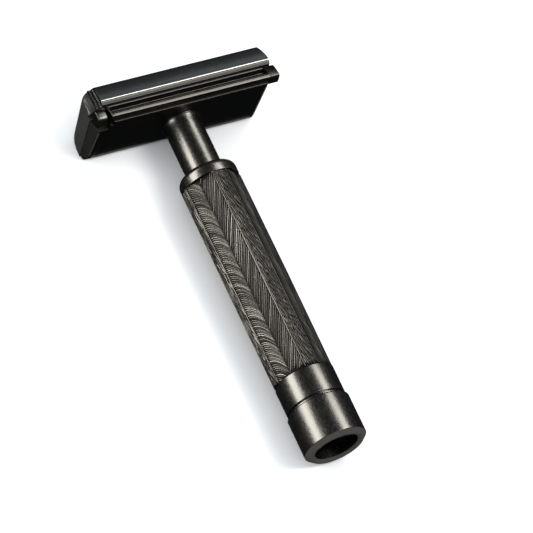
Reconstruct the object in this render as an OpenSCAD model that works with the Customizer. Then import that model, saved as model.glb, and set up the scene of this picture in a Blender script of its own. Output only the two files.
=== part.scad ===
// Single-edge safety razor with a twist-to-open head.
// It is modelled standing on its pommel, head up, and then laid on its back: the handle runs along +Y to the
// head, the blade's edge and the guard face up, and the head's back and the pommel touch the surface at Z = 0.

/* [Handle] */
// Length from the pommel's end face to the underside of the head
handle_length = 88; // [80:1:110]
// Diameter of the pommel
pommel_d = 15; // [13:0.5:18]
// Length of the pommel, up to its groove
pommel_length = 10.75; // [10:0.05:16]
// Diameter of the blind hole in the pommel's end
pommel_hole_d = 10.5; // [9.5:0.1:11.5]
// Depth of the blind hole in the pommel's end
pommel_hole_depth = 4.6; // [3.5:0.1:5.5]
// Diameter at the bottom of the groove between pommel and ferrule
groove_d = 13.4; // [11:0.1:14]
// Width of that groove
groove_w = 0.7; // [0.4:0.1:1.5]
// Diameter of the ferrule below the grip
ferrule_d = 14.3; // [12:0.1:16]
// Length of the ferrule
ferrule_length = 6.75; // [5:0.05:10]
// Diameter over the corners of the eight-sided grip
grip_d = 14.3; // [12:0.1:16]
// Angle that each of the grip's four narrow faces takes of the circle
narrow_face_angle = 27; // [15:1:40]
// How far each wide face of the grip is crowned
wide_face_crown = 0.3; // [0:0.05:0.8]
// Diameter of the collar above the grip
collar_d = 13.9; // [12:0.1:16]
// Length of the collar
collar_length = 3.2; // [3.2:0.1:6]
// Diameter of the neck
neck_d = 8.8; // [8:0.1:10.5]
// Length of the neck
neck_length = 14.1; // [10:0.1:16]
// Diameter of the small ring at the neck's top
neck_ring_d = 9.8; // [9:0.1:12]

/* [Core] */
// Diameter of the tie rod through the handle
rod_d = 4; // [3:0.1:4.5]
// Diameter of the neck's spigot in collar and grip
spigot_d = 6.4; // [6:0.1:7.5]
// Length of the spigot inside the grip
spigot_in_grip = 4; // [3:0.5:8]
// Width across the flats of the pommel's nut
nut_flats = 7; // [6:0.1:7.6]
// Height of the nut
nut_height = 2.8; // [2:0.1:3]
// Thickness of the lock washer under the nut
washer_t = 0.5; // [0.3:0.1:0.8]

/* [Head] */
// Width of the head from the cheek's outer face to the cap's open end
head_width = 46.4; // [44:0.1:56]
// Width of the end cheek
cheek_w = 3.4; // [3.2:0.1:4]
// How far the base plate stops short of the cap's open end
plate_short = 2.2; // [1.6:0.1:3]
// Reach of the guard in front of the handle's axis
guard_reach = 9.65; // [9.4:0.05:10.5]
// Reach of the cap's lip in front of the handle's axis
lip_reach = 8.15; // [7.9:0.05:8.6]
// Height of the blade's bed above the head's underside
bed_h = 4.6; // [4.4:0.1:5.2]
// Height of the cap's lip above the blade's bed
lip_rise = 1.4; // [1:0.1:1.8]
// Height of the cap's front face
cap_face_h = 4.4; // [3.6:0.1:5]
// How far the cap's front face leans back
cap_lean = 1; // [0.4:0.1:1.6]
// Slope of the cap's top down to its back, in degrees
cap_slope = 13; // [8:0.5:15]
// Height of the guard above the head's underside
guard_h = 4.3; // [3.8:0.1:4.4]

/* [Blade] */
// Length of the blade
blade_length = 38.6; // [36:0.1:40]
// Width of the blade, edge to back
blade_w = 11; // [10.4:0.1:11.2]
// Thickness of the blade
blade_t = 0.25; // [0.2:0.01:0.4]
// Reach of the blade's edge in front of the handle's axis
edge_reach = 7.2; // [7:0.05:7.5]

/* [Screw and stop] */
// Outer diameter of the screw that draws the cap down
stud_d = 4.8; // [4:0.1:5]
// Length of the screw inside the neck when the head is closed
stud_in_neck = 9; // [7:0.5:9]
// Most that the cap lifts as the handle is turned
cap_travel = 3; // [2:0.1:3.4]
// Travel of the spring-loaded blade stop
stop_travel = 1; // [0.6:0.1:1.2]
// Width of the blade stop's head
stop_w = 2.7; // [2.2:0.1:2.8]

/* [Fits] */
// Gap round a turning or sliding fit
running_gap = 0.08; // [0.05:0.01:0.12]
// Gap round a part that is pressed or screwed in
seat_gap = 0.02; // [0.01:0.01:0.04]
// Gap between faces of pieces that move apart
face_gap = 0.15; // [0.1:0.05:0.3]

/* [Hidden] */
$fn = 96;
tiny = 0.01;

gunmetal = "#3b3e43";
dark_steel = "#2a2c30";
bright_steel = "#b9bcc0";
spring_steel = "#7d8087";

// Handle heights, from the pommel's end
nut_pocket_d = nut_flats / cos(30) + 0.6;
web_z = pommel_hole_depth + 0.7 + nut_height + washer_t;
ferrule_z = pommel_length + groove_w;
grip_z = ferrule_z + ferrule_length;
neck_z = handle_length - neck_length;
collar_z = neck_z - collar_length;
spigot_z = collar_z - spigot_in_grip;
grip_length = collar_z - grip_z;
rod_bore_d = rod_d + 2 * seat_gap + 0.6;
rod_grip = 4.5;
rod_top = spigot_z + rod_grip;
nut_z = web_z - washer_t - nut_height;
rod_z = nut_z - 0.4;
edge_break = 0.6;

// Head places: x runs along the blade, y to the back, h up from the underside
left_x = -head_width / 2;
right_x = head_width / 2;
cap_x = left_x + cheek_w;
plate_right_x = right_x - plate_short;
back_y = pommel_d / 2;
plate_front_y = -7;
cap_face_front_h = bed_h + lip_rise;
cap_top_h = cap_face_front_h + cap_face_h;
land_h = bed_h + blade_t + 0.08;
edge_y = -edge_reach;
blade_back_y = edge_y + blade_w;
blade_x = plate_right_x - 0.7 - blade_length;
seam_front_h = 3.3;
seam_back_h = 1.5;
bevel_w = seam_back_h - face_gap;
cheek_drop = 1.5;
strip_t = 0.4;
overall_length = handle_length + cap_top_h;

// The lift bracket works under the blade and reaches the cap behind it
bracket_w = 9;
bracket_front_y = -3.6;
bracket_back_y = blade_back_y + 2.3;
bracket_floor_h = 1.5;
riser_t = 2;
bracket_top_h = bed_h - 0.1;
riser_top_h = 6.2;
screw_d = 1.2;
pin_d = 1.6;
pin_x = 14;
pin_y = blade_back_y + 1.6;
pin_sink_h = 0.8;
pin_top_h = 6.4;
dowel_d = 1.2;
dowel_h = 1.5;
dowel_sink = 0.7;
cheek_dowel_d = 1.4;
cheek_dowel_h = 6.8;
CHEEK_DOWELS_Y = [-4, 2];
blade_low_h = bed_h + 0.03;

// The stop's head, stem and spring lie in the base plate's left end
stop_x = left_x + 0.1 + stop_w / 2;
stop_h = 2.25;
stop_head_h = 3.5;
stop_front_y = -9.3;
stop_back_y = stop_front_y + stop_w;
stop_wall_y = stop_back_y + stop_travel + 0.2;
stem_d = 1.2;
stem_h = 1.45;
stem_end_y = stop_wall_y + 1.6;
stop_bore_end_y = stem_end_y + stop_travel + 1.2;
spring_wire_d = 0.2;

// Front outline of the cheek, which the grip strip covers
cheek_front = [
    [-lip_reach + 0.8, stop_h + stop_head_h / 2 + 2 * face_gap], [-lip_reach + 0.45, cap_face_front_h],
    [-lip_reach + cap_lean, cap_top_h - cheek_drop - 0.5]
];

// Lays the standing razor on its back
module laid() {
    translate([0, -overall_length / 2, back_y]) rotate([-90, 0, 0]) children();
}

// Lifts head pieces to the top of the handle
module on_head() {
    laid() translate([0, 0, handle_length]) children();
}

// Extrudes an outline drawn in y and h along x, from x0 to x1
module along_x(x0, x1) {
    translate([x0, 0, 0]) rotate([90, 0, 90]) linear_extrude(x1 - x0) children();
}

// Round rod along z from z0 to z1
module post(d, z0, z1) {
    translate([0, 0, z0]) cylinder(d = d, h = z1 - z0);
}

// Round rod along x
module x_rod(d, x0, x1) {
    translate([x0, 0, 0]) rotate([0, 90, 0]) cylinder(d = d, h = x1 - x0);
}

// Round rod along y
module y_rod(d, y0, y1) {
    translate([0, y0, 0]) rotate([-90, 0, 0]) cylinder(d = d, h = y1 - y0);
}

// Turned ring with broken outer edges
module turned(d, z0, z1, low_edge, high_edge) {
    rotate_extrude() polygon([
        [0, z0], [d / 2 - low_edge, z0], [d / 2, z0 + low_edge],
        [d / 2, z1 - high_edge], [d / 2 - high_edge, z1], [0, z1]
    ]);
}

module pommel() {
    color(gunmetal) laid() difference() {
        union() {
            turned(pommel_d, 0, pommel_length, 1, edge_break);
            post(groove_d, 0, ferrule_z);
        }
        post(pommel_hole_d, -1, pommel_hole_depth);
        post(nut_pocket_d, 0, web_z);
        translate([0, 0, -tiny]) cylinder(d1 = pommel_hole_d + 1, d2 = pommel_hole_d, h = 0.5);
        post(rod_bore_d, 0, ferrule_z + 1);
    }
}

module ferrule() {
    color(gunmetal) laid() difference() {
        turned(ferrule_d, ferrule_z, grip_z, 0.3, 0.3);
        post(rod_bore_d, ferrule_z - 1, grip_z + 1);
    }
}

module grip() {
    half_wide = 45 - narrow_face_angle / 2;
    flat = grip_d / 2 * cos(half_wide);
    half_width = grip_d / 2 * sin(half_wide);
    outline = [for (side = [0:3]) for (share = [-1:0.25:1])
        let (a = side * 90 + 45, out = flat + wide_face_crown * (1 - share * share), across = half_width * share)
        [out * cos(a) - across * sin(a), out * sin(a) + across * cos(a)]];
    color(dark_steel) laid() difference() {
        translate([0, 0, grip_z]) linear_extrude(grip_length) polygon(outline);
        post(rod_bore_d, grip_z - 1, collar_z + 1);
        post(spigot_d + 2 * seat_gap, spigot_z - 0.3, collar_z + 1);
    }
}

module collar() {
    shoulder = (collar_d - neck_d) / 2 - 0.3;
    color(gunmetal) laid() difference() {
        union() {
            post(collar_d, collar_z, neck_z - shoulder);
            rotate_extrude() intersection() {
                translate([collar_d / 2 - shoulder, neck_z - shoulder]) circle(r = shoulder);
                translate([0, neck_z - shoulder - tiny]) square([collar_d, shoulder * 2]);
            }
            post(collar_d - 2 * shoulder, collar_z, neck_z);
        }
        post(spigot_d + 2 * seat_gap, collar_z - 1, neck_z + 1);
    }
}

module neck() {
    color(gunmetal) laid() difference() {
        union() {
            post(spigot_d, spigot_z, neck_z + 1);
            post(neck_d, neck_z, handle_length);
            turned(neck_ring_d, handle_length - 0.9, handle_length, 0.3, 0.2);
        }
        post(stud_d + 2 * running_gap, handle_length - stud_in_neck - 1, handle_length + 1);
        post(rod_d + 2 * seat_gap, spigot_z - 1, rod_top + 0.4);
    }
}

module core_rod() {
    color(spring_steel) laid() turned(rod_d, rod_z, rod_top, 0.3, 0.3);
}

module pommel_nut() {
    color(spring_steel) laid() difference() {
        translate([0, 0, nut_z]) cylinder(d = nut_flats / cos(30), h = nut_height, $fn = 6);
        post(rod_d + 2 * seat_gap, 0, web_z);
    }
}

module lock_washer() {
    color(spring_steel) laid() difference() {
        post(nut_flats, web_z - washer_t, web_z);
        post(rod_d + 2 * seat_gap, 0, web_z + 1);
    }
}

module base_plate() {
    pocket_gap = 0.3;
    tilt_w = 0.8;
    color(gunmetal) on_head() difference() {
        union() {
            along_x(cap_x + face_gap, plate_right_x) polygon([
                [plate_front_y, 0], [back_y - bevel_w, 0], [back_y, bevel_w], [back_y - 2, bevel_w],
                [back_y - 2, bevel_w + 0.8], [blade_back_y + 0.3, bed_h], [plate_front_y, bed_h]
            ]);
            along_x(left_x + 0.1, cap_x + 0.5) polygon([
                [plate_front_y, 0], [back_y - bevel_w, 0], [back_y, bevel_w], [plate_front_y, seam_front_h]
            ]);
        }
        post(stud_d + 2 * running_gap + 0.2, -1, bed_h);
        translate([-bracket_w / 2 - pocket_gap, bracket_front_y - pocket_gap, bracket_floor_h])
            cube([bracket_w + 2 * pocket_gap, bracket_back_y - bracket_front_y + 2 * pocket_gap, bed_h]);
        for (side = [-1, 1]) {
            translate([side * pin_x, pin_y, 0]) post(pin_d + 2 * seat_gap, pin_sink_h, bed_h + 1);
            translate([side * pin_x, 0, dowel_h]) y_rod(dowel_d + 2 * seat_gap, plate_front_y - 1, plate_front_y + 2);
        }
        translate([left_x - 1, plate_front_y - 1, -1])
            cube([cap_x - left_x + 0.6, stop_wall_y - plate_front_y + 1, bed_h + 2]);
        translate([stop_x, 0, stem_h]) y_rod(stem_d + 2 * running_gap, stop_wall_y - 1, stop_bore_end_y);
        translate([0, back_y + 1, 0]) rotate([90, 0, 0]) linear_extrude(2 * back_y + 2) polygon([
            [left_x - 1, -1], [left_x + 0.1 + tilt_w, -1], [left_x + 0.1 + tilt_w, 0],
            [left_x + 0.1, seam_front_h], [left_x - 1, seam_front_h]
        ]);
        translate([plate_right_x, 0, 0]) rotate([0, 45, 0]) cube([tilt_w, 40, tilt_w], center = true);
    }
}

module guard_bar() {
    guard_left_x = cap_x + 0.3;
    block_x = plate_right_x - 0.2;
    low_edge_h = 0.9;
    color(gunmetal) on_head() difference() {
        union() {
            along_x(guard_left_x, block_x) polygon([
                [plate_front_y, 0], [-guard_reach + 1.6, 0], [-guard_reach + 0.5, 0.3], [-guard_reach, low_edge_h],
                [-guard_reach + 0.45, 2.2], [-guard_reach + 1.45, 2.3], [-guard_reach + 1.95, guard_h - 0.4],
                [-guard_reach + 1.75, guard_h], [plate_front_y, guard_h]
            ]);
            along_x(block_x - tiny, right_x) polygon([
                [plate_front_y, 0], [-guard_reach + 1.6, 0], [-guard_reach + 0.5, 0.3], [-guard_reach, low_edge_h],
                [-guard_reach + 0.6, guard_h - 1], [-guard_reach + 1.4, guard_h], [plate_front_y, guard_h]
            ]);
        }
        for (side = [-1, 1]) translate([side * pin_x, 0, dowel_h])
            y_rod(dowel_d + 2 * seat_gap, plate_front_y - dowel_sink - 0.05, plate_front_y + 1);
    }
}

module guard_dowels() {
    color(spring_steel) on_head() for (side = [-1, 1])
        translate([side * pin_x, 0, dowel_h]) y_rod(dowel_d, plate_front_y - dowel_sink, plate_front_y + 1.9);
}

module locating_pins() {
    color(spring_steel) on_head() for (side = [-1, 1])
        translate([side * pin_x, pin_y, 0]) turned(pin_d, pin_sink_h, pin_top_h, 0, 0.3);
}

module blade_stop() {
    low_h = stop_h - stop_head_h / 2;
    round_y = stop_front_y + stop_w / 2;
    color(gunmetal) on_head() translate([stop_x, 0, 0]) union() {
        translate([-stop_w / 2, round_y, low_h]) cube([stop_w, stop_back_y - round_y, stop_head_h]);
        translate([0, round_y, 0]) turned(stop_w, low_h, low_h + stop_head_h, 0.4, 0.4);
        translate([0, 0, stem_h]) y_rod(stem_d, stop_back_y - 0.5, stem_end_y);
    }
}

module stop_spring() {
    coils = 3;
    gap = (stop_bore_end_y - stem_end_y - spring_wire_d) / (coils - 1);
    color(spring_steel) on_head() translate([stop_x, stem_end_y + spring_wire_d / 2, stem_h]) rotate([-90, 0, 0])
        for (turn = [0:coils - 1]) translate([0, 0, turn * gap])
            rotate_extrude() translate([stem_d / 2 - spring_wire_d, 0]) circle(d = spring_wire_d, $fn = 16);
}

module top_cap() {
    top_back_y = back_y - 2.4;
    top_run = top_back_y + lip_reach - cap_lean;
    top_back_h = cap_top_h - top_run * tan(cap_slope);
    color(gunmetal) on_head() difference() {
        along_x(cap_x, right_x) polygon([
            [-lip_reach + 0.1, cap_face_front_h - 0.25], [-lip_reach, cap_face_front_h],
            [-lip_reach + cap_lean - 0.3, cap_top_h - 0.9], [-lip_reach + cap_lean + 0.2, cap_top_h - 0.2],
            [-lip_reach + cap_lean + 1, cap_top_h],
            [top_back_y, top_back_h], [top_back_y + 1.4, top_back_h - 0.9], [back_y - 0.2, top_back_h - 2.2],
            [back_y, top_back_h - 3], [back_y, seam_back_h], [back_y - 1.2, seam_back_h],
            [back_y - 1.2, pin_top_h - 0.8], [blade_back_y + 0.2, pin_top_h - 0.8],
            [blade_back_y + 0.2, land_h], [edge_y + 0.6, land_h], [edge_y + 0.3, land_h + 0.6]
        ]);
        translate([-bracket_w / 2 - tiny, blade_back_y, 0])
            cube([bracket_w + 2 * tiny, bracket_back_y - blade_back_y, riser_top_h]);
        for (side = [-1, 1]) {
            translate([side * pin_x, pin_y, 0]) post(pin_d + 2 * running_gap, 0, pin_top_h + 0.2);
            translate([side * 2.6, bracket_back_y - riser_t / 2, 0])
                post(screw_d + 2 * seat_gap, riser_top_h - 1, riser_top_h + 1);
            translate([side * 13, 0, 0]) post(1 + 2 * seat_gap, land_h - 1, land_h + 1.6);
        }
        for (row = CHEEK_DOWELS_Y) translate([0, row, cheek_dowel_h])
            x_rod(cheek_dowel_d + 2 * seat_gap, cap_x - 1, cap_x + 2);
        translate([-15, -1.5, land_h - 1]) cube([30, 3, 1.5]);
        translate([plate_right_x, back_y - 1.3, 0]) cube([plate_short + 1, 3, pin_top_h - 0.8]);
    }
}

module end_cheek() {
    back_top_y = back_y - 1.6;
    front_top = cheek_front[2];
    back_top_h = front_top[1] - (back_top_y - front_top[0]) * tan(cap_slope);
    color(gunmetal) on_head() difference() {
        along_x(left_x, cap_x) polygon(concat(cheek_front, [
            front_top + [0.9, 0.5], [back_top_y - 0.6, back_top_h + 0.5], [back_top_y, back_top_h],
            [back_y, seam_back_h + 1.3], [back_y, seam_back_h],
            [stop_wall_y + face_gap, seam_front_h], [stop_wall_y + face_gap, stop_h + stop_head_h / 2 + face_gap]
        ]));
        for (row = CHEEK_DOWELS_Y) translate([0, row, cheek_dowel_h])
            x_rod(cheek_dowel_d + 2 * seat_gap, cap_x - 2, cap_x + 1);
    }
}

module cheek_dowels() {
    color(spring_steel) on_head() for (row = CHEEK_DOWELS_Y)
        translate([0, row, cheek_dowel_h]) x_rod(cheek_dowel_d, cap_x - 1.95, cap_x + 1.95);
}

module grip_strip() {
    strip_w = 1.7;
    front = [for (i = [2:-1:0]) cheek_front[i] - [strip_t, 0]];
    color(dark_steel) on_head() along_x(cap_x - strip_w - 0.1, cap_x - 0.1) polygon(concat(cheek_front, front));
}

module lift_bracket() {
    color(spring_steel) on_head() difference() {
        translate([-bracket_w / 2, 0, 0]) union() {
            translate([0, bracket_front_y, bracket_floor_h + 0.1])
                cube([bracket_w, bracket_back_y - bracket_front_y, bracket_top_h - bracket_floor_h - 0.1]);
            translate([0, bracket_back_y - riser_t, bracket_floor_h + 0.1])
                cube([bracket_w, riser_t, riser_top_h - bracket_floor_h - 0.1]);
        }
        post(stud_d + 2 * seat_gap, 0, bracket_top_h + 1);
        for (side = [-1, 1]) translate([side * 2.6, bracket_back_y - riser_t / 2, 0])
            post(screw_d + 2 * seat_gap, 0, riser_top_h + 1);
    }
}

module bracket_screws() {
    color(spring_steel) on_head() for (side = [-1, 1])
        translate([side * 2.6, bracket_back_y - riser_t / 2, 0])
            post(screw_d, bracket_floor_h + 0.2, riser_top_h + 0.9);
}

module cap_stud() {
    color(spring_steel) on_head() turned(stud_d, -stud_in_neck, bracket_top_h, 0.4, 0);
}

module blade_spring() {
    color(spring_steel) on_head() difference() {
        translate([-14.9, -1.4, land_h + 0.2]) cube([29.8, 2.8, 0.3]);
        for (side = [-1, 1]) translate([side * 13, 0, 0]) post(1 + 2 * seat_gap, land_h - 1, land_h + 1);
    }
}

module spring_rivets() {
    color(bright_steel) on_head() for (side = [-1, 1])
        translate([side * 13, 0, 0]) post(1, land_h + 0.15, land_h + 1.5);
}

module blade() {
    grind_w = 0.7;
    color(bright_steel) on_head() difference() {
        along_x(blade_x, blade_x + blade_length) polygon([
            [edge_y, blade_low_h + blade_t / 2], [edge_y + grind_w, blade_low_h], [blade_back_y, blade_low_h],
            [blade_back_y, blade_low_h + blade_t], [edge_y + grind_w, blade_low_h + blade_t]
        ]);
        for (end = [0, 1]) translate([blade_x + end * blade_length, 0.4, bed_h - 1]) cylinder(d = 3, h = 2);
    }
}

pommel();
ferrule();
grip();
collar();
neck();
core_rod();
pommel_nut();
lock_washer();
base_plate();
guard_bar();
guard_dowels();
locating_pins();
stop_spring();
blade_stop();
top_cap();
end_cheek();
cheek_dowels();
grip_strip();
lift_bracket();
bracket_screws();
cap_stud();
blade_spring();
spring_rivets();
blade();
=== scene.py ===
import math
import random

import bmesh
import bpy
from mathutils import Matrix, Vector


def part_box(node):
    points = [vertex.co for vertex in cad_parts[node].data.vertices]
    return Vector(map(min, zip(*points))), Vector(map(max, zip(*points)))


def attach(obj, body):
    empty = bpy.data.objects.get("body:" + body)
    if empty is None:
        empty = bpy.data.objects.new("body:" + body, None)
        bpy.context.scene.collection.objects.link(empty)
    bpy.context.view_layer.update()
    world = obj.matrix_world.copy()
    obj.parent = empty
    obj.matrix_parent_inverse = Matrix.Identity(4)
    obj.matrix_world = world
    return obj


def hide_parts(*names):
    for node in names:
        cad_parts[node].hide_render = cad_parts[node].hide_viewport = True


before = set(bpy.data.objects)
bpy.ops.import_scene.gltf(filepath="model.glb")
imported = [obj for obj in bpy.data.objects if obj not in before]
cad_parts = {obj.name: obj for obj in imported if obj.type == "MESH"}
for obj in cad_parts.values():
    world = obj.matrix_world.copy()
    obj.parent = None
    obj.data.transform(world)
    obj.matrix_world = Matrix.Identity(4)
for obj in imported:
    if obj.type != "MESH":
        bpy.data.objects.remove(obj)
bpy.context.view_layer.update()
MM = 0.001
scene = bpy.context.scene
axis_height = sum(corner.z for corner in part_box("core_rod")) / 2
under_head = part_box("base_plate")[0].y


# Floor: a plain pale board under the razor, which lies on its back.
floor_size = 6
floor_grey = (0.9, 0.9, 0.9, 1)
bm = bmesh.new()
bmesh.ops.create_grid(bm, x_segments=1, y_segments=1, size=floor_size / 2)
floor_mesh = bpy.data.meshes.new("floor")
bm.to_mesh(floor_mesh)
bm.free()
floor = bpy.data.objects.new("floor", floor_mesh)
scene.collection.objects.link(floor)
floor_material = bpy.data.materials.new("pale_floor")
floor_material.use_nodes = True
floor_shader = floor_material.node_tree.nodes["Principled BSDF"]
floor_shader.inputs["Base Color"].default_value = floor_grey
floor_shader.inputs["Roughness"].default_value = 0.9
floor_shader.inputs["Specular IOR Level"].default_value = 0.1
floor_mesh.materials.append(floor_material)
floor.visible_glossy = False


# Light: soft boxes that the dark metal mirrors: one low on the left and one overhead make two broad stripes,
# and two narrow ones in front catch the head's edges and its underside.
# The room round them is nearly dark in mirrors, so flat faces that mirror no box stay dark.
scene.view_settings.view_transform = "Standard"
room = bpy.data.worlds.new("room")
scene.world = room
room.use_nodes = True
room_light = room.node_tree.nodes["Background"]
room_light.inputs["Color"].default_value = (0.9, 0.95, 1, 1)
room_paths = room.node_tree.nodes.new("ShaderNodeLightPath")
room_level = room.node_tree.nodes.new("ShaderNodeMapRange")
room_level.inputs["To Min"].default_value = 1
room_level.inputs["To Max"].default_value = 0.02
room.node_tree.links.new(room_paths.outputs["Is Glossy Ray"], room_level.inputs["Value"])
room.node_tree.links.new(room_level.outputs["Result"], room_light.inputs["Strength"])


def soft_box(name, direction, distance, width, length, radiance, tint):
    """A rectangular light in a direction from the razor, facing it, its length along the handle."""
    back = Vector(direction).normalized()
    side = Vector((0, 1, 0)).cross(back).normalized()
    up = back.cross(side)
    place = back * distance
    light = bpy.data.lights.new(name, "AREA")
    light.shape = "RECTANGLE"
    light.size = width
    light.size_y = length
    light.energy = radiance * math.pi * width * length
    light.color = tint
    box = bpy.data.objects.new(name, light)
    scene.collection.objects.link(box)
    box.matrix_world = Matrix.Translation(place) @ Matrix((side, up, back)).transposed().to_4x4()


warm = (1, 0.965, 0.89)
cool = (0.9, 0.98, 1)
plain = (1, 1, 1)
soft_box("left_box", (-0.86, 0.36, 0.32), distance=0.7, width=0.34, length=0.8, radiance=4, tint=warm)
soft_box("top_box", (0.5, 0.07, 0.79), distance=0.7, width=0.28, length=0.64, radiance=3.4, tint=warm)
soft_box("edge_box", (0.42, -0.28, 0.84), distance=0.9, width=0.5, length=0.16, radiance=10, tint=plain)
soft_box("far_box", (0.42, 0.57, 0.7), distance=0.9, width=0.4, length=0.14, radiance=0.8, tint=cool)


# Camera: a long lens that looks at the guard side from the left and from below the head.
# It is rolled, so the razor leans as if held.
azimuth = math.radians(-46.9)
elevation = math.radians(55.79)
roll = math.radians(26.6)
distance = 1.5
view_width = 0.1204
aim_right = 5.85
aim_up = 3.23
towards = Vector((
    math.sin(azimuth) * math.cos(elevation),
    -math.cos(azimuth) * math.cos(elevation),
    math.sin(elevation),
))
turn = towards.to_track_quat("Z", "Y").to_matrix() @ Matrix.Rotation(roll, 3, "Z")
aim = turn @ Vector((aim_right, aim_up, 0)) * MM
camera_data = bpy.data.cameras.new("camera")
camera_data.sensor_width = 36
camera_data.lens = camera_data.sensor_width * distance / view_width
camera = bpy.data.objects.new("camera", camera_data)
scene.collection.objects.link(camera)
camera.matrix_world = Matrix.Translation(aim + towards * distance) @ turn.to_4x4()
scene.camera = camera


# Satin steel: the dark coating over fine turned or brushed steel that nearly every piece has.
# A node group gives its cloudy colour and its fine grain.
# It also gives the slight wear that changes its sheen here and there.
def add_node(tree, kind, **settings):
    """A new node in a tree, with its settings."""
    made = tree.nodes.new(kind)
    for key, value in settings.items():
        setattr(made, key, value)
    return made


satin = bpy.data.node_groups.new("satin_steel", "ShaderNodeTree")
for name, kind, value in (
    ("Dark", "NodeSocketColor", (0.1, 0.1, 0.1, 1)),
    ("Light", "NodeSocketColor", (0.3, 0.3, 0.3, 1)),
    ("Grain", "NodeSocketVector", (1, 1, 1)),
    ("Smooth", "NodeSocketFloat", 0.25),
    ("Rough", "NodeSocketFloat", 0.4),
):
    satin.interface.new_socket(name, in_out="INPUT", socket_type=kind).default_value = value
for name, kind in (
    ("Color", "NodeSocketColor"),
    ("Roughness", "NodeSocketFloat"),
    ("Height", "NodeSocketFloat"),
):
    satin.interface.new_socket(name, in_out="OUTPUT", socket_type=kind)
group_in = add_node(satin, "NodeGroupInput")
group_out = add_node(satin, "NodeGroupOutput")
place = add_node(satin, "ShaderNodeTexCoord")
stretch = add_node(satin, "ShaderNodeVectorMath", operation="MULTIPLY")
grain = add_node(satin, "ShaderNodeTexNoise")
grain.inputs["Scale"].default_value = 2500
grain.inputs["Detail"].default_value = 4
cloud = add_node(satin, "ShaderNodeTexNoise")
cloud.inputs["Scale"].default_value = 180
cloud.inputs["Detail"].default_value = 3
blend = add_node(satin, "ShaderNodeMix", data_type="FLOAT")
blend.inputs["Factor"].default_value = 0.35
tone = add_node(satin, "ShaderNodeMix", data_type="RGBA")
sheen = add_node(satin, "ShaderNodeMapRange")
sheen.inputs["From Min"].default_value = 0.3
sheen.inputs["From Max"].default_value = 0.7
link = satin.links.new
link(place.outputs["Object"], stretch.inputs[0])
link(group_in.outputs["Grain"], stretch.inputs[1])
link(stretch.outputs[0], grain.inputs["Vector"])
link(place.outputs["Object"], cloud.inputs["Vector"])
link(grain.outputs["Fac"], blend.inputs["A"])
link(cloud.outputs["Fac"], blend.inputs["B"])
link(blend.outputs["Result"], tone.inputs["Factor"])
link(group_in.outputs["Dark"], tone.inputs["A"])
link(group_in.outputs["Light"], tone.inputs["B"])
link(tone.outputs["Result"], group_out.inputs["Color"])
link(blend.outputs["Result"], sheen.inputs["Value"])
link(group_in.outputs["Smooth"], sheen.inputs["To Min"])
link(group_in.outputs["Rough"], sheen.inputs["To Max"])
link(sheen.outputs["Result"], group_out.inputs["Roughness"])
link(grain.outputs["Fac"], group_out.inputs["Height"])


def steel(name, dark, light, grain_stretch, smooth, rough, relief, metallic=1):
    """A metal material of the satin group: two tones, a grain direction, a roughness range and a relief."""
    material = bpy.data.materials.new(name)
    material.use_nodes = True
    tree = material.node_tree
    shader = tree.nodes["Principled BSDF"]
    shader.inputs["Metallic"].default_value = metallic
    surface = add_node(tree, "ShaderNodeGroup", node_tree=satin)
    surface.inputs["Dark"].default_value = (*dark, 1)
    surface.inputs["Light"].default_value = (*light, 1)
    surface.inputs["Grain"].default_value = grain_stretch
    surface.inputs["Smooth"].default_value = smooth
    surface.inputs["Rough"].default_value = rough
    bump = add_node(tree, "ShaderNodeBump")
    bump.inputs["Strength"].default_value = relief
    bump.inputs["Distance"].default_value = 0.05 * MM
    tree.links.new(surface.outputs["Color"], shader.inputs["Base Color"])
    tree.links.new(surface.outputs["Roughness"], shader.inputs["Roughness"])
    tree.links.new(surface.outputs["Height"], bump.inputs["Height"])
    tree.links.new(bump.outputs["Normal"], shader.inputs["Normal"])
    return material


def piece(bm, name, body, slot, material, *replaced):
    """Writes a finished mesh as a piece that rides on a body and stands for CAD nodes."""
    bmesh.ops.remove_doubles(bm, verts=bm.verts, dist=0.0005 * MM)
    bmesh.ops.recalc_face_normals(bm, faces=bm.faces)
    mesh = bpy.data.meshes.new(name)
    bm.to_mesh(mesh)
    bm.free()
    mesh.materials.append(material)
    made = bpy.data.objects.new(name, mesh)
    scene.collection.objects.link(made)
    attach(made, body)
    if replaced:
        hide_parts(*replaced)
    return made


second_material = 1
third_material = 2


def shade_smooth(made, angle):
    """Smooth shading that keeps edges sharper than an angle in degrees."""
    mesh = made.data
    for face in mesh.polygons:
        face.use_smooth = True
    mesh.set_sharp_from_angle(angle=math.radians(angle))


# Pommel: a turned cup of satin steel, screwed against the ferrule by the tie rod.
# It has a broken outer edge, a flat end ring and a deep blind hole, and a groove behind it.
def turned_mesh(profile, steps=128):
    """Spins a profile of (radius, height) points in millimetres about the handle's axis."""
    bm = bmesh.new()
    ring = [bm.verts.new((radius * MM, pommel_end + height * MM, axis_height)) for radius, height in profile]
    edges = [bm.edges.new(pair) for pair in zip(ring, ring[1:])]
    bmesh.ops.spin(
        bm, geom=ring + edges, cent=(0, 0, axis_height), axis=(0, 1, 0), angle=math.tau,
        steps=steps, use_merge=True, use_duplicate=False,
    )
    return bm


def arc(centre_radius, centre_height, size, start, end, steps=5):
    """Points of a rounded edge between two angles in degrees, 0 outwards and 90 to the head."""
    return [
        (
            centre_radius + size * math.cos(math.radians(start + (end - start) * i / steps)),
            centre_height + size * math.sin(math.radians(start + (end - start) * i / steps)),
        )
        for i in range(steps + 1)
    ]


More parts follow.
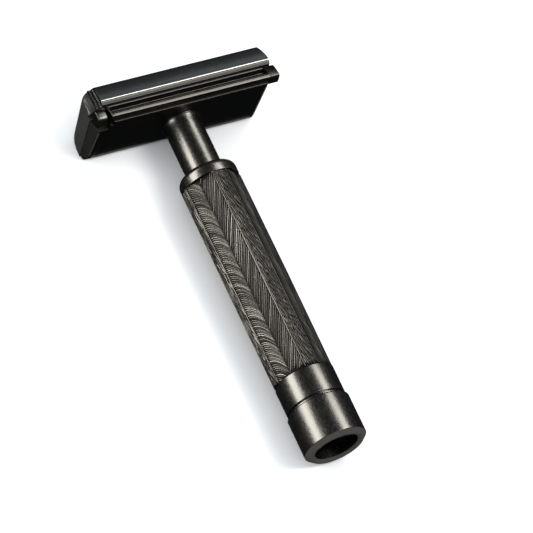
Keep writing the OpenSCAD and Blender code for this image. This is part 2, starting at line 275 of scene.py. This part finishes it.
pommel_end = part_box("pommel")[0].y
satin_turned = steel(
    "satin_turned", dark=(0.15, 0.15, 0.147), light=(0.34, 0.335, 0.315), grain_stretch=(1, 0.5, 1),
    smooth=0.22, rough=0.34, relief=0.28,
)
rod_bore = 2.32
nut_pocket = 4.35
hole_radius = 5.25
hole_depth = 4.6
pocket_depth = 8.6
ferrule_low = 11.45
grip_low = 18.2
grip_high = 70.7
collar_high = 73.9
pommel_profile = [(rod_bore, pocket_depth), (nut_pocket, pocket_depth), (nut_pocket, hole_depth)]
pommel_profile += [(hole_radius, hole_depth), (hole_radius, 0.5)]
pommel_profile += [(hole_radius + 0.12, 0.32), (hole_radius + 0.5, 0.04), (hole_radius + 0.6, 0)]
pommel_profile += [(6.35, 0), (6.5, 0.06), (7.42, 0.92)] + arc(7.3, 1.05, 0.2, -30, 0, 3)
pommel_profile += arc(7.32, 10.32, 0.18, 0, 90) + [(6.9, 10.52), (6.6, 10.56), (6.6, 10.66), (6.94, 10.7)]
pommel_profile += [(7.0, 10.76), (7.0, 11.02), (6.94, 11.1), (6.45, 11.12), (6.35, 11.16), (6.35, 11.44)]
pommel_profile += [(6.3, ferrule_low), (rod_bore, ferrule_low), (rod_bore, pocket_depth)]
# A lighter, less metallic steel for the pommel's end ring; under the base plate it paints highlight lines.
end_ring_and_painted_line_steel = steel(
    "end_ring_and_painted_line_steel", dark=(0.12, 0.113, 0.102), light=(0.22, 0.206, 0.185), grain_stretch=(1, 1, 1),
    smooth=0.4, rough=0.5, relief=0.3, metallic=0.72,
)
end_ring_height = 0.9
bm = turned_mesh(pommel_profile)
for face in bm.faces:
    middle = face.calc_center_median()
    beside_hole = math.hypot(middle.x, middle.z - axis_height) > hole_radius * MM
    if middle.y < pommel_end + end_ring_height * MM and beside_hole:
        face.material_index = second_material
pommel = piece(bm, "pommel_cup", "handle", "satin_steel", satin_turned, "pommel")
pommel.data.materials.append(end_ring_and_painted_line_steel)
shade_smooth(pommel, angle=28)


# Ferrule: a plain turned ring of the same satin steel between pommel and grip.
# It has a fine broken edge at each end.
ferrule_profile = [(rod_bore, ferrule_low), (6.85, ferrule_low)] + arc(6.9, 11.6, 0.15, -90, 0)
ferrule_profile += arc(6.97, 18.1, 0.1, 0, 90) + [(rod_bore, grip_low), (rod_bore, ferrule_low)]
bm = turned_mesh(ferrule_profile)
ferrule = piece(bm, "ferrule_ring", "handle", "satin_steel", satin_turned, "ferrule")
shade_smooth(ferrule, angle=28)


# Collar: a turned ring of satin steel with a round shoulder.
# The neck's spigot clamps it on the grip.
collar_bore = 3.22
collar_profile = [(collar_bore, grip_high), (6.85, grip_high)] + arc(6.86, 70.8, 0.1, -90, 0, 3)
collar_profile += arc(5.36, 72.3, 1.6, 0, 90, 12) + [(4.5, collar_high), (collar_bore, collar_high)]
collar_profile += [(collar_bore, grip_high)]
bm = turned_mesh(collar_profile)
collar = piece(bm, "collar_ring", "handle", "satin_steel", satin_turned, "collar")
shade_smooth(collar, angle=28)


# Neck: a slim turned bar with a small ring where it meets the head, and a spigot that goes into the grip.
# It is bored for the cap's screw from above and for the tie rod from below.
screw_bore = 2.48
bore_bottom = 77.0
spigot_radius = 3.2
spigot_end = 66.7
rod_end = 71.6
neck_profile = [(screw_bore, bore_bottom), (screw_bore, 88.0), (4.66, 88.0), (4.72, 87.9), (4.7, 87.72)]
neck_profile += [(4.58, 87.62), (4.54, 87.45), (4.46, 87.1), (4.41, 86.6), (4.4, 86.0), (4.4, 74.05)]
neck_profile += [(4.3, collar_high), (spigot_radius, collar_high), (spigot_radius, spigot_end)]
neck_profile += [(2.02, spigot_end), (2.02, rod_end), (0.6, rod_end), (0.6, bore_bottom)]
neck_profile += [(screw_bore, bore_bottom)]
bm = turned_mesh(neck_profile)
neck = piece(bm, "neck_bar", "handle", "satin_steel", satin_turned, "neck")
shade_smooth(neck, angle=28)


# Grip: an eight-sided bar of dark steel with hatching on every face and a fine ridge on every corner.
# Four wide faces carry a herringbone whose points aim at the pommel.
# Four narrow ones carry long fine strokes.
random.seed(7)
corner_radius = 7.12
half_narrow = 13.5
wide_crown = 0.28
narrow_crown = 0.12
end_chamfer = 0.15
face_margin = 0.12
sink = 0.006
line_height = 0.03
line_width = 0.21
stroke_lanes = 8
lane_inset = 0.08
# Near-black steel between the grip's raised lines and between the strip's knurls: painted shade.
painted_groove_shade = steel(
    "painted_groove_shade", dark=(0.006, 0.006, 0.006), light=(0.016, 0.0155, 0.015), grain_stretch=(1, 1, 1),
    smooth=0.4, rough=0.55, relief=0.5,
)
hatched = steel(
    "hatched_steel", dark=(0.3, 0.29, 0.275), light=(0.56, 0.54, 0.505), grain_stretch=(1, 1, 1),
    smooth=0.34, rough=0.46, relief=0.4,
)
ridge_width = 0.34
ridge_height = 0.12


def face_spot(facing, half, crown, across, along, lift):
    """A place on one of the grip's faces, from millimetres across it, along it and above it."""
    flat = corner_radius * math.cos(half)
    share = across / (corner_radius * math.sin(half))
    out = flat + crown * (1 - share * share) + lift
    x = out * math.cos(facing) - across * math.sin(facing)
    z = out * math.sin(facing) + across * math.cos(facing)
    return Vector((x * MM, pommel_end + along * MM, axis_height + z * MM))


tent = ((-1, 0), (0, 1), (1, 0))
half_round = ((-1, 0), (-0.85, 0.45), (-0.5, 0.85), (0, 1), (0.5, 0.85), (0.85, 0.45), (1, 0))


def raised_line(bm, face, path, width, height, section=tent):
    """A fine ridge along a path of (across, along) points on one of the grip's faces."""
    rows = []
    for i, (across, along) in enumerate(path):
        before = path[max(i - 1, 0)]
        after = path[min(i + 1, len(path) - 1)]
        run = math.hypot(after[0] - before[0], after[1] - before[1])
        taper = 0.3 if i in (0, len(path) - 1) else 1
        side_across = (before[1] - after[1]) / run * width / 2 * taper
        side_along = (after[0] - before[0]) / run * width / 2 * taper
        row = []
        for share, rise in section:
            lift = height * taper * rise if rise else -sink
            spot = face_spot(*face, across + share * side_across, along + share * side_along, lift)
            row.append(bm.verts.new(spot))
        rows.append(row)
    for first, second in zip(rows, rows[1:]):
        for k in range(len(section)):
            bm.faces.new((first[k], first[k - 1], second[k - 1], second[k]))
    bm.faces.new(rows[0])
    bm.faces.new(reversed(rows[-1]))


# The two halves of a wide face: side, spacing along the grip, steepness, rise towards the edge and curve.
straight_strokes = (-1, 0.95, 1.9, 6.9, 1)
curved_strokes = (1, 0.5, 1, 3.6, 2)
wide_half = math.radians(45 - half_narrow)
narrow_half = math.radians(half_narrow)
bm = bmesh.new()
rings = []
for height, inset in (
    (grip_low, None), (grip_low, end_chamfer), (grip_low + end_chamfer, 0),
    (grip_high - end_chamfer, 0), (grip_high, end_chamfer), (grip_high, None),
):
    ring = []
    for side in range(4):
        facing = math.radians(side * 90 + 45)
        for step in range(9):
            across = (step / 4 - 1) * corner_radius * math.sin(wide_half)
            spot = face_spot(facing, wide_half, wide_crown, across, height, 0)
            away = Vector((spot.x, 0, spot.z - axis_height))
            reach = rod_bore * MM if inset is None else away.length - inset * MM
            away = away.normalized() * reach
            ring.append(bm.verts.new((away.x, spot.y, axis_height + away.z)))
    rings.append(ring)
for low_ring, high_ring in zip(rings, rings[1:] + rings[:1]):
    for i in range(len(low_ring)):
        bm.faces.new((low_ring[i - 1], low_ring[i], high_ring[i], high_ring[i - 1]))
# The grip's faces between the raised lines take the near-black steel: painted shade between the lines.
for face in bm.faces:
    face.material_index = second_material
for side in range(4):
    wide = (math.radians(side * 90 + 45), wide_half, wide_crown)
    half_width = corner_radius * math.sin(wide_half) - face_margin
    for hand, pitch, steep, rise, curve in (straight_strokes, curved_strokes):
        start = grip_low - rise
        while start < grip_high:
            path = []
            for step in range(7):
                share = step / 6
                along = start + rise * (1 - (1 - share) ** curve)
                if grip_low + face_margin < along < grip_high - face_margin:
                    path.append((hand * share * half_width, along))
            if len(path) > 1:
                width = line_width * random.uniform(0.7, 1.15)
                raised_line(bm, wide, path, width, line_height * steep * random.uniform(0.6, 1.2))
            start += pitch * random.uniform(0.9, 1.1)
    narrow = (math.radians(side * 90), narrow_half, narrow_crown)
    half_width = corner_radius * math.sin(narrow_half) - face_margin
    for lane in range(stroke_lanes):
        at = grip_low + random.uniform(0.1, 0.8)
        middle = ((lane + 0.5) / stroke_lanes * 2 - 1) * (half_width - lane_inset)
        while at < grip_high - 0.6:
            end = min(at + random.uniform(0.9, 3.2), grip_high - face_margin)
            drift = random.uniform(0.05, 0.2)
            path = [(middle - drift, at), (middle, (at + end) / 2), (middle + drift, end)]
            height = line_height * random.uniform(0.6, 2.2)
            raised_line(bm, narrow, path, line_width * random.uniform(0.95, 1.3), height)
            at = end - random.uniform(0.05, 0.3)
    for hand in (-1, 1):
        corner = hand * corner_radius * math.sin(narrow_half)
        ends = (grip_low + end_chamfer, (grip_low + grip_high) / 2, grip_high - end_chamfer)
        path = [(corner, along) for along in ends]
        lined = set(bm.faces)
        raised_line(bm, narrow, path, ridge_width, ridge_height, half_round)
        for face in set(bm.faces) - lined:
            face.material_index = third_material
grip = piece(bm, "grip_bar", "handle", "hatched_steel", hatched, "grip")
grip.data.materials.append(painted_groove_shade)
grip.data.materials.append(satin_turned)


# Hidden steel: rod, nut, washer, screws, pins, dowels and springs are plain machined steel.
# They keep the shapes of the CAD nodes.
plain_steel = steel(
    "plain_steel", dark=(0.3, 0.3, 0.31), light=(0.5, 0.5, 0.52), grain_stretch=(1, 1, 1),
    smooth=0.25, rough=0.4, relief=0.2,
)
for name in (
    "core_rod", "pommel_nut", "lock_washer", "guard_dowels", "locating_pins", "stop_spring", "cheek_dowels",
    "lift_bracket", "bracket_screws", "cap_stud", "blade_spring", "spring_rivets",
):
    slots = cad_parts[name].data.materials
    slots.clear()
    slots.append(plain_steel)


# Base plate: the flat plate that the handle's neck meets, with the blade's bed on its hidden side.
# Its left end, back edge and right end are bevelled, and its back corners are rounded.
# Thin raised lines run along its underside, just inside the edges, in a lighter, less metallic steel:
# painted highlights along the underside.
def long_body(bm, outline, left, right):
    """Extrudes an outline of (reach, height) points along the blade between two x places, all in mm."""
    ring = [
        bm.verts.new((left * MM, under_head + height * MM, axis_height + reach * MM))
        for reach, height in outline
    ]
    face = bm.faces.new(ring)
    grown = bmesh.ops.extrude_face_region(bm, geom=[face], use_keep_orig=True)
    moved = [item for item in grown["geom"] if isinstance(item, bmesh.types.BMVert)]
    bmesh.ops.translate(bm, verts=moved, vec=((right - left) * MM, 0, 0))


def head_place(point):
    """A point's x, reach in front of the handle's axis and height over the head's underside, in mm."""
    return point.x / MM, (point.z - axis_height) / MM, (point.y - under_head) / MM


def cut_plane(bm, place, normal):
    """Splits every face that a plane crosses, and keeps both sides."""
    everything = list(bm.verts) + list(bm.edges) + list(bm.faces)
    bmesh.ops.bisect_plane(bm, geom=everything, plane_co=place, plane_no=normal)


def round_edges(bm, width, segments, chosen):
    """Bevels the edges whose two ends both pass a test of x, reach and height in millimetres."""
    edges = [
        edge for edge in bm.edges
        if all(chosen(*head_place(vert.co)) for vert in edge.verts) and edge.calc_face_angle(0) > 0.2
    ]
    bmesh.ops.bevel(
        bm, geom=edges, offset=width * MM, offset_type="OFFSET", segments=segments, profile=0.5,
        affect="EDGES", material=-1, clamp_overlap=True,
    )


def shaped(made, edge_width):
    """A fine rounded break on every sharp edge of a piece, with normals that keep its flats flat."""
    bevel = made.modifiers.new("edges", "BEVEL")
    bevel.width = edge_width * MM
    bevel.segments = 3
    bevel.limit_method = "ANGLE"
    bevel.angle_limit = math.radians(25)
    bevel.harden_normals = True
    shade_smooth(made, 40)


head_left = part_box("end_cheek")[0].x / MM
head_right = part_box("top_cap")[1].x / MM
cap_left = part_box("top_cap")[0].x / MM
plate_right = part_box("base_plate")[1].x / MM
black_satin = steel(
    "black_satin", dark=(0.045, 0.044, 0.043), light=(0.12, 0.118, 0.112), grain_stretch=(0.3, 1, 1),
    smooth=0.3, rough=0.42, relief=0.3,
)
bed = 4.6
plate_front = 6.95
back_bevel = [(-6.3, 0), (-6.85, 0.12), (-7.25, 0.42), (-7.45, 0.85), (-7.45, 1.3)]
back_line = [(-5.95, 0.03), (-5.95, -0.1), (-6.4, -0.1), (-6.4, 0.03)]
right_slope = 0.6
left_slope = 0.8
plate_outline = [(plate_front, 0)] + back_bevel
plate_outline += [(-5.5, 1.35), (-5.5, 2.15), (-4.1, bed), (plate_front, bed)]
bm = bmesh.new()
long_body(bm, plate_outline, cap_left + 0.15, plate_right - 0.05)
for vert in bm.verts:
    x, reach, height = head_place(vert.co)
    if x > 0 and height < 0.01:
        vert.co.x -= right_slope * MM
round_edges(
    bm, width=0.9, segments=4,
    chosen=lambda x, reach, height: x > 15 and reach < -5.9 and height < 1.4,
)
long_body(bm, [(6.5, 0.01), (8.1, 0.01), (8.1, 0.3), (6.5, 0.3)], cap_left + 0.9, plate_right - 0.7)
stud_room = 2.6
for cut in (-stud_room, stud_room):
    cut_plane(bm, (cut * MM, 0, 0), (1, 0, 0))
for cut in (-stud_room, stud_room):
    cut_plane(bm, (0, 0, axis_height + cut * MM), (0, 0, 1))
middles = []
for face in bm.faces:
    x, reach, height = head_place(face.calc_center_median())
    if abs(x) < stud_room and abs(reach) < stud_room:
        middles.append(face)
rims = list({edge for face in middles for edge in face.edges})
bmesh.ops.delete(bm, geom=middles, context="FACES_ONLY")
bmesh.ops.bridge_loops(bm, edges=rims)
long_body(bm, back_line, cap_left + 0.15, plate_right - 1.6)
right_line = [(6.6, 0.03), (6.6, -0.09), (-5.4, -0.09), (-5.4, 0.03)]
long_body(bm, right_line, plate_right - 1.1, plate_right - 0.8)
# The raised lines under the plate take the lighter steel: painted highlights.
for face in bm.faces:
    if head_place(face.calc_center_median())[2] < -0.01:
        face.material_index = second_material
base_main = piece(bm, "base_plate_body", "base", "dark_steel", black_satin, "base_plate")
base_main.data.materials.append(end_ring_and_painted_line_steel)
shaped(base_main, edge_width=0.12)
bm = bmesh.new()
base_satin = steel(
    "base_satin", dark=(0.02, 0.019, 0.018), light=(0.055, 0.053, 0.05), grain_stretch=(1, 1, 1),
    smooth=0.34, rough=0.46, relief=0.3, metallic=0.7,
)
end_front = 5.3
long_body(bm, [(end_front, 0)] + back_bevel + [(end_front, 3.1)], head_left + 0.1, cap_left + 0.1)
for vert in bm.verts:
    x, reach, height = head_place(vert.co)
    if x < head_left + 1 and height < 0.01:
        vert.co.x += left_slope * MM
round_edges(
    bm, width=0.8, segments=4,
    chosen=lambda x, reach, height: x < head_left + 1.2 and reach < -5.9,
)
for face in bm.faces:
    if head_place(face.calc_center_median())[2] < 0.05:
        face.material_index = third_material
drawn = set(bm.faces)
left_line = [(4.6, 0.03), (4.6, -0.09), (-5.3, -0.09), (-5.3, 0.03)]
long_body(bm, left_line, head_left + 1.0, head_left + 1.25)
long_body(bm, back_line, head_left + 1.7, cap_left + 0.1)
# The raised lines under the end take the lighter steel: painted highlights.
for face in set(bm.faces) - drawn:
    face.material_index = second_material
base_end = piece(bm, "base_plate_end", "base", "dark_steel", base_satin)
base_end.data.materials.append(end_ring_and_painted_line_steel)
base_end.data.materials.append(black_satin)
shaped(base_end, edge_width=0.15)


# Guard bar: a bar in front of the blade with a long channel milled along its sloping front.
# A block closes its right end; two dowels hold it to the base plate.
edge_satin = steel(
    "edge_satin", dark=(0.09, 0.088, 0.083), light=(0.19, 0.184, 0.173), grain_stretch=(0.25, 1, 1),
    smooth=0.26, rough=0.36, relief=0.3,
)
bm = bmesh.new()
guard_left = cap_left + 0.3
block_left = plate_right - 0.2
guard_back = 7.0
guard_low = 0.36
guard_high = 4.28
long_body(bm, [
    (guard_back, guard_low), (8.2, guard_low), (8.75, 0.4), (9.2, 0.56), (9.5, 0.82), (9.62, 1.15),
    (9.6, 1.45), (9.42, 1.72), (9.15, 1.86), (8.98, 1.9), (8.95, 2.12), (8.8, 2.2), (7.72, 2.24),
    (7.72, 3.85), (7.95, 3.92), (8.1, 4.02), (8.12, 4.16), (8.0, guard_high), (guard_back, guard_high),
], guard_left + 0.45, block_left)
# The channel's walls and floor take a near-black steel: painted shade in the channel.
for face in bm.faces:
    x, reach, height = head_place(face.calc_center_median())
    if 2.15 < height < 3.9 and 7.5 < reach < 8.97 and abs(face.normal.x) < 0.5:
        face.material_index = second_material
long_body(bm, [(7.7, 2.9), (7.86, 2.96), (7.86, 3.06), (7.7, 3.12)], guard_left + 0.6, block_left - 0.2)
guard = piece(bm, "guard_rail", "base", "dark_steel", edge_satin, "guard_bar")
# Near-black steel that stands for the shade in the guard's channel: painted shade.
channel_painted_shade = steel(
    "channel_painted_shade", dark=(0.002, 0.002, 0.002), light=(0.006, 0.006, 0.006), grain_stretch=(1, 1, 1),
    smooth=0.4, rough=0.5, relief=0.2,
)
guard.data.materials.append(channel_painted_shade)
shaped(guard, edge_width=0.1)
bm = bmesh.new()
closed = [
    (guard_back, guard_low), (8.2, guard_low), (8.8, 0.42), (9.3, 0.58), (9.58, 0.85), (9.62, 1.2),
    (9.0, 3.4), (8.6, 4.1), (8.1, guard_high), (guard_back, guard_high),
]
long_body(bm, closed, block_left + 0.01, head_right - 0.03)
round_edges(
    bm, width=0.55, segments=4,
    chosen=lambda x, reach, height: x > head_right - 0.1 and reach > 7.1,
)
guard_block = piece(bm, "guard_block", "base", "dark_steel", edge_satin)
shaped(guard_block, edge_width=0.1)
bm = bmesh.new()
long_body(bm, closed, guard_left, guard_left + 0.44)
guard_lip = piece(bm, "guard_lip", "base", "dark_steel", edge_satin)
shaped(guard_lip, edge_width=0.14)


# Blade stop: a small rounded stud of dark steel at the guard's left end.
# It sits on a stem that a coil spring pushes out.
bm = bmesh.new()
stop_low, stop_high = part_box("blade_stop")
stop_middle = (stop_low.x + stop_high.x) / 2 / MM
stop_half = (stop_high.x - stop_low.x) / 2 / MM
stop_front = (stop_high.z - axis_height) / MM
stud_low = 0.5
stud_high = 4.05
stud_back = stop_front - 2.5
long_body(bm, [
    (stud_back, stud_low), (stop_front - 1, stud_low), (stop_front - 0.45, 0.8), (stop_front - 0.05, 1.5),
    (stop_front, 2.4), (stop_front - 0.2, 3.3), (stop_front - 0.7, 3.85), (stop_front - 1.3, stud_high),
    (stud_back, stud_high),
], stop_middle - stop_half + 0.25, stop_middle + stop_half - 0.01)
round_edges(bm, width=0.8, segments=6, chosen=lambda x, reach, height: reach > stop_front - 1.4)
stop = piece(bm, "blade_stop_stud", "stop", "dark_steel", edge_satin, "blade_stop")
shaped(stop, edge_width=0.12)
bm = bmesh.new()
stem_radius = 0.6 * MM
stem_length = 2.6 * MM
stem_height = 1.45
stem_reach = stop_front - 4
bmesh.ops.create_cone(
    bm, cap_ends=True, segments=32, radius1=stem_radius, radius2=stem_radius, depth=stem_length,
)
bmesh.ops.translate(bm, verts=bm.verts, vec=(
    stop_middle * MM, under_head + stem_height * MM, axis_height + stem_reach * MM,
))
stem = piece(bm, "blade_stop_stem", "stop", "dark_steel", black_satin)
shade_smooth(stem, angle=40)


# Top cap: a long shell of smooth blue-grey steel that clamps the blade.
# Its front leans back and is slightly crowned, and its lip has two fine grooves under a round edge of much
# lighter steel, a polished edge painted lighter as a highlight.
cap_satin = steel(
    "cap_satin", dark=(0.09, 0.098, 0.102), light=(0.14, 0.152, 0.158), grain_stretch=(0.2, 1, 1),
    smooth=0.22, rough=0.28, relief=0.03, metallic=0.94,
)
# Much lighter steel for the lip's round edge: partly a polished edge, partly a painted highlight.
lip_polish_and_painted_highlight = steel(
    "lip_polish_and_painted_highlight", dark=(0.5, 0.48, 0.45), light=(0.62, 0.6, 0.56), grain_stretch=(0.2, 1, 1),
    smooth=0.2, rough=0.26, relief=0.02,
)
bm = bmesh.new()
lip_radius = 0.25
lip_reach = 7.87
lip_height = 6.1
face_low = 6.15
face_rise = 3.75
face_reach = 8.1
face_lean = 0.68
face_bulge = 0.09
front_face = []
for step in range(9):
    share = step / 8
    reach = face_reach - face_lean * share + face_bulge * math.sin(math.pi * share)
    front_face.append((reach, face_low + face_rise * share))
lip = []
for step in range(8):
    turned_by = math.radians(-80 + 90 * step / 7)
    reach = lip_reach + lip_radius * math.cos(turned_by)
    lip.append((reach, lip_height + lip_radius * math.sin(turned_by)))
cap_outline = [(6.6, 4.95), (6.9, 5.15), (7.5, 5.2), (7.55, 5.34), (7.66, 5.38), (7.7, 5.52)]
cap_outline += [(7.8, 5.56), (7.84, 5.7)]
cap_outline += lip + front_face[1:] + [(7.28, 10.12), (7.02, 10.3), (6.7, 10.37), (6.2, 10.38)]
cap_outline += [(-5.0, 7.55), (-6.4, 6.75), (-7.2, 5.5), (-7.46, 4.5), (-7.48, 1.55), (-6.35, 1.55)]
cap_outline += [(-6.35, 5.55), (-4.0, 5.55), (-4.0, 4.95)]
long_body(bm, cap_outline, cap_left + 0.02, head_right - 0.03)
end_lean = 1
lean_low = 6.0
lean_rise = 4
lean_curve = 1.6
for vert in bm.verts:
    x, reach, height = head_place(vert.co)
    if x > 0 and height > 6.5 and reach > -6:
        vert.co.x -= end_lean * MM * min(1, (height - lean_low) / lean_rise) ** lean_curve
    if x > 0 and reach < -6:
        vert.co.x -= (head_right - plate_right) * MM
round_edges(bm, width=0.7, segments=4, chosen=lambda x, reach, height: x > 15 and height > 9.6)
for face in bm.faces:
    x, reach, height = head_place(face.calc_center_median())
    # The faces under the lip take the darker steel: painted shade under the lip.
    if reach > 7 and height < 5.86:
        face.material_index = second_material
    # The round lip edge takes the light steel: polished, and painted lighter as a highlight.
    elif reach > 7.9 and height < 6.15:
        face.material_index = third_material
cap = piece(bm, "cap_shell", "cap", "cap_steel", cap_satin, "top_cap")
cap.data.materials.append(black_satin)
cap.data.materials.append(lip_polish_and_painted_highlight)
shaped(cap, edge_width=0.09)


# End cheek: the closed left end of the cap, which falls away over its corner in a round shoulder.
# The front corner carries a finely knurled finger pad.
cheek_satin = steel(
    "cheek_satin", dark=(0.07, 0.07, 0.068), light=(0.15, 0.148, 0.143), grain_stretch=(1, 1, 1),
    smooth=0.34, rough=0.48, relief=0.4, metallic=0.8,
)
bm = bmesh.new()
long_body(bm, [
    (5.2, 3.33), (5.2, 4.12), (7.3, 4.3), (7.7, 6.0), (7.5, 8.0), (7.3, 9.4), (6.95, 9.95), (6.3, 10.25),
    (-4.9, 7.35), (-6.0, 6.6), (-6.9, 5.2), (-7.46, 3.2), (-7.46, 1.55),
], head_left + 0.02, cap_left)
shoulder_drop = 2.6
shoulder_pull = 1.3
shoulder_steps = 10
shoulder_low = 4.3
shoulder_rise = 5.6
pad_rows = 8
pad_columns = 4
row_step = 0.42
column_step = 0.38
for step in range(1, shoulder_steps):
    cut = head_left + (cap_left - head_left) * (1 - math.cos(math.pi / 2 * step / shoulder_steps))
    cut_plane(bm, (cut * MM, 0, 0), (1, 0, 0))
for vert in bm.verts:
    x, reach, height = head_place(vert.co)
    share = min(max((cap_left - x) / (cap_left - head_left), 0), 1)
    fall = 1 - math.sqrt(max(1 - share * share, 0))
    vert.co.y -= shoulder_drop * fall * max(0, (height - shoulder_low) / shoulder_rise) * MM
    if reach > 5.5:
        vert.co.z -= shoulder_pull * fall * MM
round_edges(bm, width=0.4, segments=4, chosen=lambda x, reach, height: x < head_left + 0.1)
for row in range(pad_rows):
    for column in range(pad_columns):
        height = 5.1 + row * row_step + column % 2 * row_step / 2
        x = cap_left - 1.9 - column * column_step
        share = min((cap_left - x) / (cap_left - head_left), 0.98)
        fall = 1 - math.sqrt(1 - share * share)
        reach = 7.7 - abs(height - 6) * 0.15 - shoulder_pull * fall
        dropped = height - shoulder_drop * fall * (height - shoulder_low) / shoulder_rise
        bead = bmesh.ops.create_icosphere(bm, subdivisions=2, radius=0.2 * MM)
        bmesh.ops.translate(bm, verts=bead["verts"], vec=(
            x * MM, under_head + dropped * MM, axis_height + reach * MM,
        ))
cheek = piece(bm, "end_cheek_block", "cap", "cap_steel", cheek_satin, "end_cheek")
shaped(cheek, edge_width=0.1)


# Grip strip: a strip of crossed knurling between cheek and cap.
# The head is held by it while the handle turns.
bm = bmesh.new()
strip_left = cap_left - 1.75
strip_right = cap_left - 0.12
strip_outline = [(7.2, 4.5), (7.5, 6.0), (7.1, 9.7), (7.42, 9.7), (7.86, 6.0), (7.5, 4.5)]
long_body(bm, strip_outline, strip_left, strip_right)
columns = 2
knurls = 9
knurl_step = 0.58
knurl_lean = 0.5
body_faces = len(bm.faces)
for column in range(columns):
    for knurl in range(knurls):
        low = 4.7 + knurl * knurl_step + column * knurl_step / 2
        reach = 7.5 + (low - 4.5) * 0.24 if low < 6 else 7.86 - (low - 6) * 0.12
        middle = strip_left + (column + 0.5) * (strip_right - strip_left) / columns
        bead = bmesh.ops.create_icosphere(bm, subdivisions=2, radius=0.36 * MM)
        lean = knurl_lean if column % 2 else -knurl_lean
        bmesh.ops.scale(bm, verts=bead["verts"], vec=(0.62, 1, 0.55))
        bmesh.ops.rotate(bm, verts=bead["verts"], cent=(0, 0, 0), matrix=Matrix.Rotation(lean, 3, "Z"))
        bmesh.ops.translate(bm, verts=bead["verts"], vec=(
            middle * MM, under_head + low * MM, axis_height + (reach - 0.02) * MM,
        ))
# The strip's body between the knurls takes the near-black steel: painted shade between the knurls.
bm.faces.ensure_lookup_table()
for face in bm.faces[:body_faces]:
    face.material_index = second_material
strip = piece(bm, "grip_strip_knurl", "cap", "hatched_steel", edge_satin, "grip_strip")
strip.data.materials.append(painted_groove_shade)


# Blade: a strip of ground stainless steel with one honed edge.
# It lies on the base plate's bed, and shows as a thin bright line under the cap's lip.
blade_low, blade_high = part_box("blade")
bright_blade = steel(
    "bright_blade", dark=(0.4, 0.4, 0.41), light=(0.62, 0.62, 0.62), grain_stretch=(0.2, 1, 1),
    smooth=0.18, rough=0.3, relief=0.15, metallic=0.85,
)
blade_thick = 0.25
honed = 0.7
sliver = 0.01
bm = bmesh.new()
blade_bottom = (blade_low.y - under_head) / MM
blade_front = (blade_high.z - axis_height) / MM
blade_back = (blade_low.z - axis_height) / MM
long_body(bm, [
    (blade_front, blade_bottom + blade_thick / 2), (blade_front - honed, blade_bottom + sliver),
    (blade_back, blade_bottom + sliver), (blade_back, blade_bottom + blade_thick - sliver),
    (blade_front - honed, blade_bottom + blade_thick - sliver),
], blade_low.x / MM, blade_high.x / MM)
blade = piece(bm, "blade_strip", "blade", "blade_steel", bright_blade, "blade")
shade_smooth(blade, angle=5)
